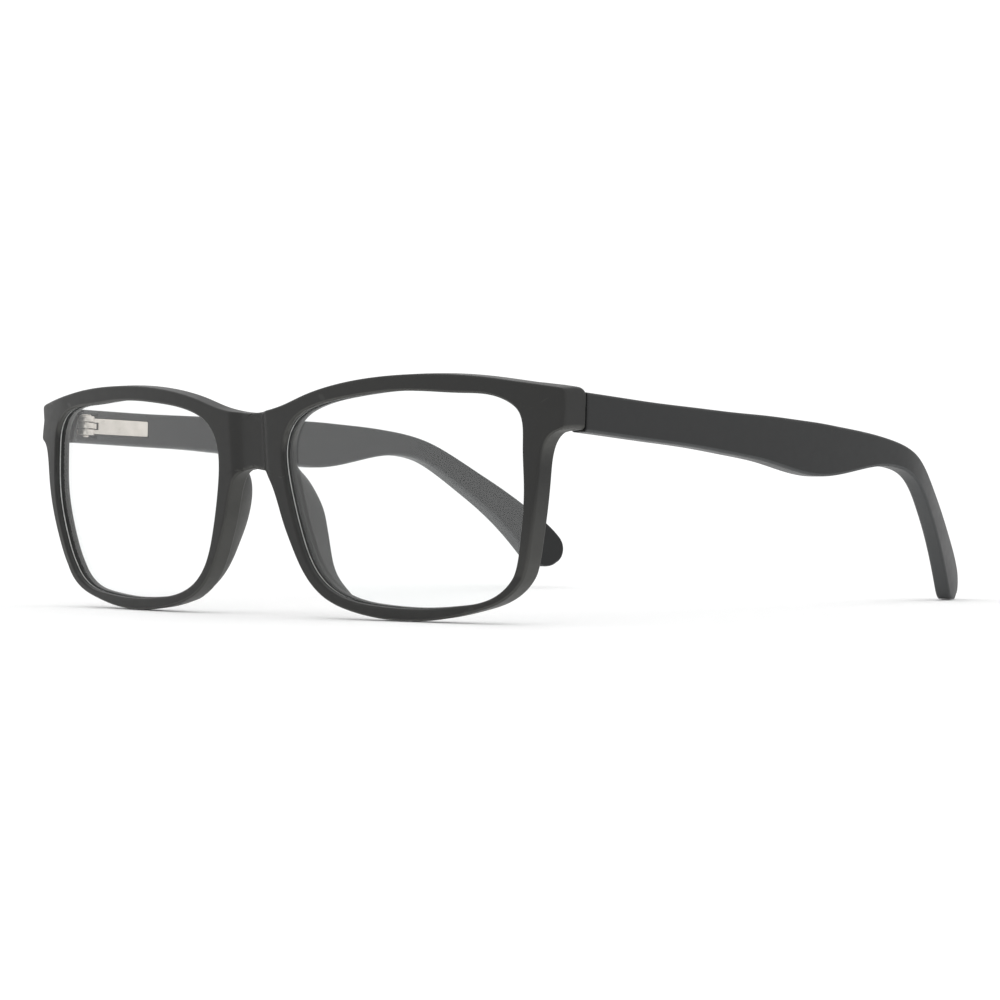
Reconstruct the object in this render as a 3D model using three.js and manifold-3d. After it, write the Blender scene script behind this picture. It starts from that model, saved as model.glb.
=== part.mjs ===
// Full-rim plastic eyeglasses frame with sprung hinges and clear lenses.
// Millimetres, +Z up, the wearer looks along -Y and the wearer's left is +X.
// The frame stands open on its two rims and its left temple tip, on the plane z = 0; the right
// temple is bent up a little, so its tip stands clear of that plane.
import * as THREE from 'three';
import { mergeGeometries, mergeVertices } from 'three/addons/utils/BufferGeometryUtils.js';
import Module from 'manifold-3d';

const wasm = await Module();
wasm.setup();

const degrees = THREE.MathUtils.degToRad;
const v2 = (x, y) => new THREE.Vector2(x, y);
const v3 = (x, y, z) => new THREE.Vector3(x, y, z);

// ---- Driving dimensions -------------------------------------------------------------------

const GAP = 0.3; // between pieces that are assembled together
const LENGTH_TO_CENTRE = 68.1; // from the front's apex back to the middle of the whole frame

const front = {
  curveRadius: 358, // the curve of the front seen from above
  tilt: degrees(3.52), // the top leans forward
  lensCentreHeight: 18.46, // lens centre line above the resting plane
  thickness: 3.6,
  edgeRound: 0.45,
  wrapStart: 58, // from here out the end pieces wrap back a little more
  wrapEnd: 69.7,
  wrapDepth: 1.15,
  // the outer sides' middle height lies a little further forward than their corners
  bulge: { start: 20, reach: 46, up: 3, halfHeight: 14, depth: 1.3 },
};

const bridge = { recessHalfWidth: 4.8, recessDepth: 1.0, recessRadius: 2.4, recessLow: 4, recessHigh: 22 };

const groove = { start: 1.0, width: 1.3, depth: 0.8 };
const lens = { thickness: 1.0, edge: 0.5 }; // edge: how far the lens reaches into the groove

const hinge = {
  x: 65.2, // the pin's axis, from the middle of the frame
  y: 14.05,
  z: 34.98,
  tilt: degrees(2.1), // the hinge leans back with the temple
  knuckleRadius: 1.7,
  knuckleHeight: 1.1,
  knuckleGap: 0.2,
  bore: 0.95,
};

// From here to the screw, places are measured from the pin's axis: outward, back and up.
const jointFace = -1.85; // back of the end piece
const outerSide = 4.2; // outer side of the end piece
const endPiece = {
  low: -3.25,
  high: 3.55,
  innerSide: -0.1,
  chamferStart: 2.2, // in front of the joint face, where the inner side begins to slant inward
  chamfer: [2.1, 1.7], // how far inward and how far forward the slant goes
  reachForward: { outer: 3.4, inner: 6 }, // how far the block runs forward into the rim
};
const leaf = { inner: 0.9, outer: 2.4, length: 3.1, behindFace: 0.1, footLength: 0.5 };
const sliderArm = { inner: 0.4, start: 0.9 };

const knuckleRoom = { outer: 2.35, halfHeight: 2.55 }; // hollow in the temple around the knuckles
const temple = {
  thickness: 3.5,
  edgeRound: 0.8,
  rings: 28,
  tipShare: 0.028,
  droop: { left: degrees(0.15), right: degrees(-2.1) }, // how far each one is bent down
  inward: { left: 0, right: degrees(1.6) }, // how far each one is turned toward the other
};
const core = { radius: 0.65, channel: 1.0, insideOuterFace: 1.75, start: 16.7, end: 111.7 };

const housing = { inner: 0.2, outer: 2.9, start: 3.35, end: 15.95, halfHeight: 1.55 };
const cavity = { inner: 0.75, outer: 2.45, end: 15.2, halfHeight: 0.95 };
const rod = { x: 1.6, radius: 0.35, end: 13.9 };
const bushing = { start: 3.65, end: 4.65, bore: 0.5, clearance: 0.12 };
const nut = { start: 12.8, end: 13.7, radius: 0.7, bore: 0.45 };
const spring = { coilRadius: 0.62, wireRadius: 0.11, turns: 7, endGap: 0.25 };
const screw = {
  radius: 0.65,
  headRadius: 1.05,
  headHeight: 0.3,
  headGap: 0.05,
  slotWidth: 0.3,
  slotFloor: 0.15,
  tip: -2.25,
};

// ---- Outlines of the front, half of it, in its own flat plane -------------------------------

const topEdge = [
  [0, 17.5], [4.5, 17.9], [9, 18.8], [14, 20.3], [20, 21.7], [28, 22.8], [40, 23.3], [52, 22.7],
  [62, 21.3], [69.7, 20],
];
const lowerEdge = [
  [0, 7.7], [2.3, 7.4], [4.2, 6.4], [5.4, 4.6], [6.5, 1.9], [7.8, -1.9], [9.4, -5.5], [11.2, -9],
  [13.6, -12.3], [17.5, -15.3], [22.5, -17.1], [29, -18.3], [37, -18.75], [45, -18.1], [51, -16.9],
  [56.6, -15.1], [60.65, -11.8], [62.9, -6.5], [64.6, 0], [65.5, 5.5], [66.2, 10], [67.1, 11.9],
  [68.4, 12.9], [69.7, 13.2],
];
const lensEdge = [
  [62.6, 3.7], [62.5, 10.7], [61.6, 16.2], [58, 18.7], [50, 19.8], [38.4, 20.5], [25.8, 19.8],
  [16.1, 18.1], [11.2, 15.6], [8.9, 11.5], [8.8, 7.5], [9.6, 3], [11.6, -4.2], [14.2, -9.8],
  [17.6, -13.1], [22.5, -15.2], [30, -16.3], [39.2, -16.6], [47.5, -16], [54.5, -14.5],
  [58.7, -11.3], [61, -5.6],
];

const lensCentre = v2(35.6, 1.5);

// ---- Temple: middle line and height from the side, outer face from above ---------------------

// Along the temple: how far back from the pin, how high above it, and how tall the temple is.
const templeLine = [
  [-4.3, 0.25, 6.6], [5.7, -0.55, 6.6], [15.7, -1.37, 6.65], [26.7, -2.17, 6.9], [37.7, -3.13, 7.5],
  [46.7, -3.95, 8.3], [54.7, -5.03, 9.35], [61.7, -5.72, 9.65], [68.2, -5.85, 8.6], [74.7, -5.75, 6.95],
  [81.2, -5.95, 5.4], [86.9, -6.75, 4.7], [92, -8.35, 4.5], [96.2, -10.75, 4.6],
  [101.8, -14.95, 5.1], [107.6, -19.65, 5.9], [113.3, -25.05, 7.1], [117.4, -29.65, 8.1],
  [120.6, -34.25, 8],
];
const templePlan = [
  [-14.3, 69.3], [-2.3, 69.38], [25.7, 69.4], [50.7, 69.4], [70.7, 69.3], [85.7, 68.9], [92.7, 68.1],
  [100.7, 65.6], [110.7, 61.6], [123.7, 56.3],
];

// Nose pads: stations up the rim, each with the pad's bearing edge on the rim, its back edge,
// its outer edge on the rim (all measured sideways) and how deep its back edge lies.
const padStations = [
  { up: 7.6, near: 5.2, back: 6.6, far: 8.6, depth: 4.9 },
  { up: 5.8, near: 5.6, back: 7.3, far: 9.1, depth: 6.4 },
  { up: 2.8, near: 6.4, back: 8.6, far: 9.8, depth: 7.7 },
  { up: -0.2, near: 7.5, back: 9.9, far: 10.6, depth: 8.1 },
  { up: -3, near: 8.6, back: 10.9, far: 11.5, depth: 7.8 },
  { up: -6.1, near: 10.1, back: 12.1, far: 12.8, depth: 7.1 },
  { up: -9.2, near: 11.8, back: 13.4, far: 14.3, depth: 6.3 },
  { up: -12.4, near: 14.3, back: 15.6, far: 17.3, depth: 5.4 },
  { up: -14.3, near: 16.8, back: 17.8, far: 19.8, depth: 4.9 },
];

// ---- Materials ----------------------------------------------------------------------------

function material(color, roughness, metalness) {
  return new THREE.MeshStandardMaterial({ color, roughness, metalness });
}

const blackPlastic = material('#1d1d1d', 0.55, 0);
const clearLens = material('#e8eeee', 0.05, 0);
clearLens.transparent = true;
clearLens.opacity = 0.25;
const hingeMetal = material('#c9c2ba', 0.3, 1);
const springSteel = material('#a9a9a9', 0.35, 1);

// ---- Helpers ------------------------------------------------------------------------------

function toSolid(geometry) {
  const bare = geometry.index ? geometry.toNonIndexed() : geometry.clone();
  for (const name of Object.keys(bare.attributes)) {
    if (name !== 'position') bare.deleteAttribute(name);
  }
  const merged = mergeVertices(bare, 1e-4);
  const triVerts = [];
  for (let i = 0; i < merged.index.count; i += 3) {
    const [a, b, c] = merged.index.array.slice(i, i + 3);
    if (a !== b && b !== c && c !== a) triVerts.push(a, b, c);
  }
  return new wasm.Manifold(new wasm.Mesh({
    numProp: 3,
    vertProperties: new Float32Array(merged.attributes.position.array),
    triVerts: new Uint32Array(triVerts),
  }));
}

function toGeometry(solid) {
  const mesh = solid.getMesh();
  const geometry = new THREE.BufferGeometry();
  geometry.setAttribute('position', new THREE.BufferAttribute(mesh.vertProperties, 3));
  geometry.setIndex(new THREE.BufferAttribute(mesh.triVerts, 1));
  geometry.computeVertexNormals();
  return geometry;
}

function join(first, ...others) {
  return toGeometry(others.reduce((solid, other) => solid.add(toSolid(other)), toSolid(first)));
}

function cut(body, ...tools) {
  return toGeometry(tools.reduce((solid, tool) => solid.subtract(toSolid(tool)), toSolid(body)));
}

function meet(first, second) {
  return toGeometry(toSolid(first).intersect(toSolid(second)));
}

// A mapping of every point of a geometry.
function mapped(geometry, map) {
  const position = geometry.attributes.position;
  for (let i = 0; i < position.count; i += 1) {
    const point = map(v3(position.getX(i), position.getY(i), position.getZ(i)));
    position.setXYZ(i, point.x, point.y, point.z);
  }
  return geometry;
}

// The same piece for the other side of the frame, with its faces still pointing out.
function mirrored(geometry) {
  const copy = (geometry.index ? geometry.toNonIndexed() : geometry.clone());
  const position = copy.attributes.position;
  const source = position.array.slice();
  const order = [0, 2, 1];
  for (let i = 0; i < position.count; i += 1) {
    const from = 3 * (i - (i % 3) + order[i % 3]);
    position.setXYZ(i, -source[from], source[from + 1], source[from + 2]);
  }
  return copy;
}

function box(x0, x1, y0, y1, z0, z1) {
  const geometry = new THREE.BoxGeometry(x1 - x0, y1 - y0, z1 - z0);
  return geometry.translate((x0 + x1) / 2, (y0 + y1) / 2, (z0 + z1) / 2);
}

// An upright cylinder about the line (x, y), or one that lies along Y about the line (x, z).
function upright(radius, z0, z1, x = 0, y = 0, sides = 18) {
  const geometry = new THREE.CylinderGeometry(radius, radius, z1 - z0, sides);
  return geometry.rotateX(Math.PI / 2).translate(x, y, (z0 + z1) / 2);
}

function lying(radius, y0, y1, x = 0, z = 0, sides = 12) {
  return new THREE.CylinderGeometry(radius, radius, y1 - y0, sides).translate(x, (y0 + y1) / 2, z);
}

function smooth(points, count) {
  return new THREE.SplineCurve(points.map(([x, y]) => v2(x, y))).getSpacedPoints(count);
}

// A closed smooth loop, moved outward by the given distance.
function closedLoop(points, count, outwardBy) {
  const curve = new THREE.CatmullRomCurve3(points.map(([x, y]) => v3(x, y, 0)), true);
  return Array.from({ length: count }, (_, i) => {
    const at = curve.getPointAt(i / count);
    const along = curve.getTangentAt(i / count);
    return v2(at.x + along.y * outwardBy, at.y - along.x * outwardBy);
  });
}

function extruded(shape, depth) {
  return new THREE.ExtrudeGeometry(shape, { depth, bevelEnabled: false });
}

function polygon(radius, sides) {
  return new THREE.Shape(Array.from({ length: sides }, (_, i) => {
    const turn = (2 * Math.PI * i) / sides;
    return v2(radius * Math.cos(turn), radius * Math.sin(turn));
  }));
}

// The surface through rings of equal point count: with flat ends, or closed on itself.
function loft(rings, closed = false) {
  const count = rings[0].length;
  const index = [];
  for (let ring = 0; ring < rings.length - (closed ? 0 : 1); ring += 1) {
    const here = ring * count;
    const next = ((ring + 1) % rings.length) * count;
    for (let i = 0; i < count; i += 1) {
      const j = (i + 1) % count;
      index.push(here + i, here + j, next + j, here + i, next + j, next + i);
    }
  }
  const last = (rings.length - 1) * count;
  for (let i = 1; i + 1 < count && !closed; i += 1) {
    index.push(0, i + 1, i, last, last + i, last + i + 1);
  }
  const geometry = new THREE.BufferGeometry();
  const positions = rings.flat().flatMap((point) => [point.x, point.y, point.z]);
  geometry.setAttribute('position', new THREE.Float32BufferAttribute(positions, 3));
  geometry.setIndex(index);
  return outward(geometry);
}

// The geometry with its triangles turned, if need be, so that its faces point out.
function outward(geometry) {
  const position = geometry.attributes.position;
  const index = geometry.index.array;
  const corner = [v3(), v3(), v3()];
  let volume = 0;
  for (let i = 0; i < index.length; i += 3) {
    corner.forEach((point, k) => point.fromBufferAttribute(position, index[i + k]));
    volume += corner[0].dot(corner[1].clone().cross(corner[2]));
  }
  if (volume < 0) geometry.setIndex([...index].reverse());
  geometry.computeVertexNormals();
  return geometry;
}

// ---- Frames of reference --------------------------------------------------------------------

// From the front's flat plane (sideways, up, minus depth) to its curved and tilted place.
function ontoFront(point) {
  const { curveRadius, wrapStart, wrapEnd, wrapDepth, bulge, tilt, lensCentreHeight } = front;
  const angle = point.x / curveRadius;
  const wrap = Math.max(0, (Math.abs(point.x) - wrapStart) / (wrapEnd - wrapStart));
  const outward = Math.max(0, (Math.abs(point.x) - bulge.start) / bulge.reach);
  const middle = Math.max(0, 1 - ((point.y - bulge.up) / bulge.halfHeight) ** 2);
  const curve = curveRadius * (1 - Math.cos(angle)) + wrapDepth * wrap * wrap;
  const back = curve - bulge.depth * outward * outward * middle - point.z;
  return v3(
    curveRadius * Math.sin(angle),
    back * Math.cos(tilt) - point.y * Math.sin(tilt),
    back * Math.sin(tilt) + point.y * Math.cos(tilt) + lensCentreHeight,
  );
}

const leafFront = jointFace - leaf.behindFace - leaf.length;
const leafHalfHeight = 1.5 * hinge.knuckleHeight + hinge.knuckleGap;

const hingeMatrix = new THREE.Matrix4()
  .makeRotationX(-hinge.tilt)
  .setPosition(hinge.x, hinge.y, hinge.z);

const atHinge = (geometry) => geometry.applyMatrix4(hingeMatrix);

// A temple's own frame: sideways from the middle of the face, back and up from the pin's axis.
function atTemple(geometry, sideName) {
  geometry.translate(-hinge.x, 0, 0).rotateZ(temple.inward[sideName]);
  return geometry.rotateX(-temple.droop[sideName]).translate(hinge.x, hinge.y, hinge.z);
}

// ---- Front ----------------------------------------------------------------------------------

const flip = ([x, y]) => [-x, y];
const bothSides = (half) => [...half.slice(1).reverse().map(flip), ...half];
const floor = () => box(-100, 100, -50, 200, -10, 0);
const openingLoop = (outwardBy) => closedLoop(lensEdge, 240, outwardBy);

// A smooth symmetric edge, from the middle of the bridge to the end piece.
function halfEdge(points, count) {
  return smooth(bothSides(points), 2 * count).slice(count);
}

// Points of a line moved sideways, with the points that come before and after the line.
function shifted(points, distance, before, after) {
  return points.map((point, i) => {
    const back = point.clone().sub(points[i - 1] ?? before).normalize();
    const ahead = (points[i + 1] ?? after).clone().sub(point).normalize();
    const normal = v2(back.y + ahead.y, -back.x - ahead.x).normalize();
    const stretch = distance / Math.max(0.5, normal.x * back.y - normal.y * back.x);
    return normal.multiplyScalar(stretch).add(point);
  });
}

// How far along a loop, in points, the loop crosses a direction from the lens centre.
function placeOn(loop, angle) {
  const turnTo = (point) => {
    const turn = Math.atan2(point.y - lensCentre.y, point.x - lensCentre.x) - angle;
    return Math.atan2(Math.sin(turn), Math.cos(turn));
  };
  for (let i = 0; i < loop.length; i += 1) {
    const here = turnTo(loop[i]);
    const next = turnTo(loop[(i + 1) % loop.length]);
    if (here <= 0 && next > 0 && next - here < 1) return i - here / (next - here);
  }
  return 0;
}

function pointAt(loop, place) {
  const i = Math.floor(place);
  return loop[i % loop.length].clone().lerp(loop[(i + 1) % loop.length], place - i);
}

// Half of the front as a closed ring of sections round its lens, cut open at the bridge's middle.
function halfFront() {
  const { thickness, edgeRound } = front;
  const outline = [...halfEdge(topEdge, 22), ...halfEdge(lowerEdge, 44).reverse()];
  const inset = shifted(outline, edgeRound, v2(-outline[1].x, outline[1].y),
    v2(-outline.at(-2).x, outline.at(-2).y));
  const bridgeHeight = topEdge[0][1] - lowerEdge[0][1];
  const middle = [1 / 3, 2 / 3].map((share) => v2(0, lowerEdge[0][1] + bridgeHeight * share));
  outline.push(...middle);
  inset.push(...middle);
  const loops = [0, edgeRound, groove.depth].map(openingLoop);
  let angle = 2 * Math.PI;
  const rings = outline.map((edge, i) => {
    let turn = Math.atan2(edge.y - lensCentre.y, edge.x - lensCentre.x);
    if (turn > angle) turn -= 2 * Math.PI;
    angle = i === 0 ? turn : Math.min(angle - 0.002, turn);
    const place = placeOn(loops[0], angle);
    const [inner, innerInset, deep] = loops.map((loop) => pointAt(loop, place));
    const section = [
      [inner, edgeRound], [innerInset, 0], [inset[i], 0], [edge, edgeRound],
      [edge, thickness - edgeRound], [inset[i], thickness],
      [innerInset, thickness], [inner, thickness - edgeRound],
      [inner, groove.start + groove.width], [deep, groove.start + groove.width],
      [deep, groove.start], [inner, groove.start],
    ];
    return section.map(([point, depth]) => v3(point.x, point.y, -depth));
  });
  return withoutMiddleFaces(loft(rings, true));
}

function withoutMiddleFaces(geometry) {
  const position = geometry.attributes.position;
  const index = geometry.index.array;
  const kept = [];
  for (let i = 0; i < index.length; i += 3) {
    const corners = [...index.slice(i, i + 3)];
    if (corners.some((corner) => Math.abs(position.getX(corner)) > 1e-6)) kept.push(...corners);
  }
  geometry.setIndex(kept);
  return geometry.toNonIndexed();
}

function frontFrame() {
  const half = halfFront();
  const body = mapped(mergeGeometries([half, mirrored(half)]), ontoFront);
  const block = endBlock();
  const whole = join(body, block, mirrored(block));
  const pocket = atHinge(box(leaf.inner - GAP, leaf.outer + GAP, leafFront - GAP, jointFace + 1,
    -leafHalfHeight - GAP, leafHalfHeight + GAP));
  return cut(whole, bridgeRecess(), pocket, mirrored(pocket), floor());
}

// The middle of the bridge lies a little deeper than the rims, with hollow sides.
function bridgeRecess() {
  const { recessHalfWidth, recessDepth, recessRadius, recessLow, recessHigh } = bridge;
  const reach = Math.acos(1 - recessDepth / recessRadius);
  const half = Array.from({ length: 6 }, (_, i) => {
    const turn = (reach * i) / 5;
    const across = recessHalfWidth - recessRadius * (Math.sin(reach) - Math.sin(turn));
    return v2(across, recessRadius * (1 - Math.cos(turn)) - recessDepth);
  });
  const outline = [...half, v2(recessHalfWidth, 1), v2(-recessHalfWidth, 1),
    ...half.map((point) => v2(-point.x, point.y)).reverse()];
  const tool = extruded(new THREE.Shape(outline), recessHigh - recessLow);
  return mapped(tool.rotateX(Math.PI / 2).translate(0, recessHigh, 0), ontoFront);
}

// The thick end piece behind the rim's upper corner, which holds the hinge leaf.
function endBlock() {
  const { low, high, innerSide, chamferStart, chamfer, reachForward } = endPiece;
  const inward = innerSide - chamfer[0];
  const plan = new THREE.Shape([
    v2(outerSide, jointFace - reachForward.outer),
    v2(outerSide, jointFace),
    v2(innerSide, jointFace),
    v2(innerSide, jointFace - chamferStart),
    v2(inward, jointFace - chamferStart - chamfer[1]),
    v2(inward, jointFace - reachForward.inner),
  ]);
  return atHinge(extruded(plan, high - low).translate(0, 0, low));
}

// A lens: a curved sheet cut to a loop that reaches into the groove all round.
function lensSolid() {
  const middle = groove.start + groove.width / 2;
  const sheet = new THREE.BoxGeometry(60, 50, lens.thickness, 24, 12);
  const loop = new THREE.Shape(closedLoop(lensEdge, 72, lens.edge));
  const prism = extruded(loop, 40).translate(0, 0, -20);
  return meet(mapped(sheet.translate(lensCentre.x, 0, -middle), ontoFront), mapped(prism, ontoFront));
}

function nosePad() {
  const start = front.thickness + GAP / 2;
  const rings = padStations.map(({ up, near, back, far, depth }) => {
    const middle = (start + depth) / 2;
    const section = [
      [near, start],
      [far, start],
      [Math.max(far - 0.3, back + 0.5), middle],
      [back + 0.5, depth - 0.4],
      [back, depth],
      [back - 0.5, depth - 0.3],
      [near + (back - near) * 0.35, middle],
    ];
    return section.map(([across, deep]) => ontoFront(v3(across, up, -deep)));
  });
  return loft(rings.reverse());
}

// ---- Hinge pieces, about the pin's axis: x outward, y back, z up -----------------------------

const knuckleStep = hinge.knuckleHeight + hinge.knuckleGap;
const knuckleHalf = hinge.knuckleHeight / 2;
const pinBore = () => upright(hinge.bore, -5, 5);

function knuckle(level) {
  const middle = level * knuckleStep;
  return upright(hinge.knuckleRadius, middle - knuckleHalf, middle + knuckleHalf);
}

// The part fixed in the end piece, with the upper and lower knuckle.
function frontLeaf() {
  const parts = [-1, 1].flatMap((level) => {
    const middle = level * knuckleStep;
    const foot = box(leaf.inner, hinge.knuckleRadius, jointFace - leaf.footLength, 0,
      middle - knuckleHalf, middle + knuckleHalf);
    return [knuckle(level), foot];
  });
  const anchor = box(leaf.inner, leaf.outer, leafFront, jointFace - leaf.behindFace,
    -leafHalfHeight, leafHalfHeight);
  return cut(join(anchor, ...parts), pinBore());
}

// The middle knuckle, with the rod that slides in the spring housing.
function slider() {
  const arm = box(sliderArm.inner, rod.x + rod.radius, sliderArm.start, housing.start - GAP,
    -knuckleHalf, knuckleHalf);
  const shank = lying(rod.radius, housing.start - 2 * GAP, rod.end, rod.x);
  return cut(join(knuckle(0), arm, shank), pinBore());
}

function hingeScrew() {
  const top = knuckleStep + knuckleHalf + screw.headGap;
  const profile = [
    v2(0, screw.tip),
    v2(screw.radius, screw.tip),
    v2(screw.radius, top),
    v2(screw.headRadius, top),
    v2(screw.headRadius, top + screw.headHeight),
    v2(0, top + screw.headHeight),
  ];
  const turned = new THREE.LatheGeometry(profile, 16).rotateX(Math.PI / 2);
  const { slotWidth, slotFloor } = screw;
  return cut(turned, box(-2, 2, -slotWidth / 2, slotWidth / 2, top + slotFloor, top + 2));
}

function springHousing() {
  const { inner, outer, start, end, halfHeight } = housing;
  const shell = box(inner, outer, start, end, -halfHeight, halfHeight);
  const hollow = box(cavity.inner, cavity.outer, start - 1, cavity.end,
    -cavity.halfHeight, cavity.halfHeight);
  return cut(shell, hollow);
}

function springBushing() {
  const { start, end, clearance } = bushing;
  const body = box(cavity.inner + clearance, cavity.outer - clearance, start, end,
    clearance - cavity.halfHeight, cavity.halfHeight - clearance);
  return cut(body, lying(bushing.bore, 0, 10, rod.x));
}

function springNut() {
  return cut(lying(nut.radius, nut.start, nut.end, rod.x, 0, 6), lying(nut.bore, 10, 20, rod.x));
}

class Coil extends THREE.Curve {
  getPoint(t) {
    const angle = 2 * Math.PI * spring.turns * t;
    const start = bushing.end + spring.endGap;
    const length = nut.start - spring.endGap - start;
    return v3(
      rod.x + spring.coilRadius * Math.cos(angle),
      start + length * t,
      spring.coilRadius * Math.sin(angle),
    );
  }
}

function hingeSpring() {
  return new THREE.ExtrudeGeometry(polygon(spring.wireRadius, 5), {
    extrudePath: new Coil(), steps: spring.turns * 10, bevelEnabled: false,
  });
}

// ---- Temple ---------------------------------------------------------------------------------

const planCurve = new THREE.CubicInterpolant(
  templePlan.map(([back]) => back),
  templePlan.map(([, out]) => out),
  1,
);
const outerFace = (back) => planCurve.evaluate(back)[0];
const templeSide = new THREE.CatmullRomCurve3(templeLine.map(([back, up, tall]) => v3(back, up, tall)));

// A ring round the temple, square to its middle line; the end rings shrink to round the tip.
function templeRing(share, shrink) {
  const at = templeSide.getPointAt(share);
  const along = templeSide.getTangentAt(share);
  const up = v2(-along.y, along.x).normalize();
  const halfTall = (at.z / 2) * shrink;
  const halfThick = (temple.thickness / 2) * (0.35 + 0.65 * shrink);
  const round = Math.min(temple.edgeRound, halfTall * 0.9, halfThick * 0.9);
  const ring = [];
  for (let corner = 0; corner < 4; corner += 1) {
    const across = corner === 0 || corner === 3 ? 1 : -1;
    const height = corner < 2 ? 1 : -1;
    for (let i = 0; i <= 2; i += 1) {
      const turn = (Math.PI / 4) * (2 * corner + i);
      const out = across * (halfThick - round) + round * Math.cos(turn);
      const rise = height * (halfTall - round) + round * Math.sin(turn);
      const back = at.x + up.x * rise;
      ring.push(v3(outerFace(back) - temple.thickness / 2 + out, back, at.y + up.y * rise));
    }
  }
  return ring;
}

function templeSolid(sideName) {
  const rings = [];
  for (let i = 0; i < temple.rings; i += 1) {
    rings.push(templeRing((i / temple.rings) * (1 - temple.tipShare), 1));
  }
  for (let i = 0; i <= 6; i += 1) {
    const reach = Math.sin((Math.PI / 2) * (i / 6)) * 0.98;
    rings.push(templeRing(1 - temple.tipShare * (1 - reach), Math.sqrt(1 - reach * reach)));
  }
  const arm = atTemple(loft(rings), sideName);
  const fore = atHinge(box(-50, 50, -60, jointFace + GAP, -50, 50));
  const knuckleHollow = atHinge(box(-5, knuckleRoom.outer, -9, housing.start,
    -knuckleRoom.halfHeight, knuckleRoom.halfHeight));
  const housingRoom = atHinge(box(-5, housing.outer + GAP, housing.start - 1, housing.end + GAP,
    -housing.halfHeight - GAP, housing.halfHeight + GAP));
  const channel = coreTube(sideName, core.channel, core.start - 5, core.end + GAP);
  return cut(arm, fore, knuckleHollow, housingRoom, channel, floor());
}

// A round tube inside the temple, along its middle line between two distances back.
function coreTube(sideName, radius = core.radius, from = core.start, to = core.end) {
  const points = [];
  for (let i = 0; i <= 10; i += 1) {
    const at = templeSide.getPoint(shareAt(from + ((to - from) * i) / 10));
    points.push(v3(outerFace(at.x) - core.insideOuterFace, at.x, at.y));
  }
  const tube = new THREE.ExtrudeGeometry(polygon(radius, 8), {
    extrudePath: new THREE.CatmullRomCurve3(points), steps: 22, bevelEnabled: false,
  });
  return atTemple(tube, sideName);
}

// The share of the temple's middle line at which it lies a given distance back.
function shareAt(back) {
  let low = 0;
  let high = 1;
  for (let i = 0; i < 30; i += 1) {
    const middle = (low + high) / 2;
    if (templeSide.getPoint(middle).x < back) low = middle;
    else high = middle;
  }
  return low;
}

// ---- Assembly -------------------------------------------------------------------------------

const eyeglasses = new THREE.Group();
eyeglasses.position.y = -LENGTH_TO_CENTRE;

function place(name, geometry, look, parent = eyeglasses) {
  const mesh = new THREE.Mesh(geometry, look);
  mesh.name = name;
  parent.add(mesh);
}

// The two sides' hinge frames, which carry every hinge piece.
function hingeGroup(side) {
  const group = new THREE.Group();
  group.position.set(side * hinge.x, hinge.y, hinge.z);
  group.rotation.x = -hinge.tilt;
  eyeglasses.add(group);
  return group;
}

place('front_frame', frontFrame(), blackPlastic);

const frontPieces = [
  ['lens', lensSolid(), clearLens],
  ['nose_pad', nosePad(), blackPlastic],
];
const hingePieces = [
  ['hinge_leaf', frontLeaf(), hingeMetal],
  ['hinge_slider', slider(), hingeMetal],
  ['hinge_screw', hingeScrew(), hingeMetal],
  ['spring_housing', springHousing(), hingeMetal],
  ['spring_bushing', springBushing(), springSteel],
  ['spring_nut', springNut(), springSteel],
  ['hinge_spring', hingeSpring(), springSteel],
];

for (const [sideName, side] of [['left', 1], ['right', -1]]) {
  const group = hingeGroup(side);
  const sided = (geometry) => (side > 0 ? geometry : mirrored(geometry));
  const temples = [
    ['temple', templeSolid(sideName), blackPlastic],
    ['temple_core_wire', coreTube(sideName), springSteel],
  ];
  for (const [name, geometry, look] of [...frontPieces, ...temples]) {
    place(`${name}_${sideName}`, sided(geometry), look);
  }
  for (const [name, geometry, look] of hingePieces) {
    place(`${name}_${sideName}`, sided(geometry), look, group);
  }
}

export default eyeglasses;
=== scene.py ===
"""Looks of a full-rim plastic eyeglasses frame: black satin plastic, clear lenses, sprung metal hinges.

Outlines and sizes are in millimetres, in the frame's own terms, and every mesh is made in metres.
"""
import math

import bmesh
import bpy
import numpy as np
from mathutils import Matrix, Vector
from mathutils.kdtree import KDTree


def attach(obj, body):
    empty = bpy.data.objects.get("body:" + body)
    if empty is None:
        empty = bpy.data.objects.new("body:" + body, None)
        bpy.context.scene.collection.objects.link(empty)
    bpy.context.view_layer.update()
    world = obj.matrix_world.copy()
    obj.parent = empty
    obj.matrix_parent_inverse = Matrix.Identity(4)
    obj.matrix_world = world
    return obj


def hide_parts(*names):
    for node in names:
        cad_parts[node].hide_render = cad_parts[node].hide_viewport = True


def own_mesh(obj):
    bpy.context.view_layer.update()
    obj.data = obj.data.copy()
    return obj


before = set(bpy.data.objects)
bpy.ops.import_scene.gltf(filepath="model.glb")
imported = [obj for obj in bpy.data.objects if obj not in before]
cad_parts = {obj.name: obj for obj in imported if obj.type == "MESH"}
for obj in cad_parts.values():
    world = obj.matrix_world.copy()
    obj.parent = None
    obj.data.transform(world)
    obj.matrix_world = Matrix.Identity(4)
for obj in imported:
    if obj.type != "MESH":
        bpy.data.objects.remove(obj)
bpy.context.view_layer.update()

MM = 0.001
SIDES = {"left": 1, "right": -1}

# ---- Camera --------------------------------------------------------------------------------

CAMERA_AIM = (61.24, -68.1, 20.64)
CAMERA_AZIMUTH = 43.72
CAMERA_ELEVATION = 0.41
CAMERA_ROLL = -0.26
CAMERA_DISTANCE = 471.8
CAMERA_LENS = 103.85


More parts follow.
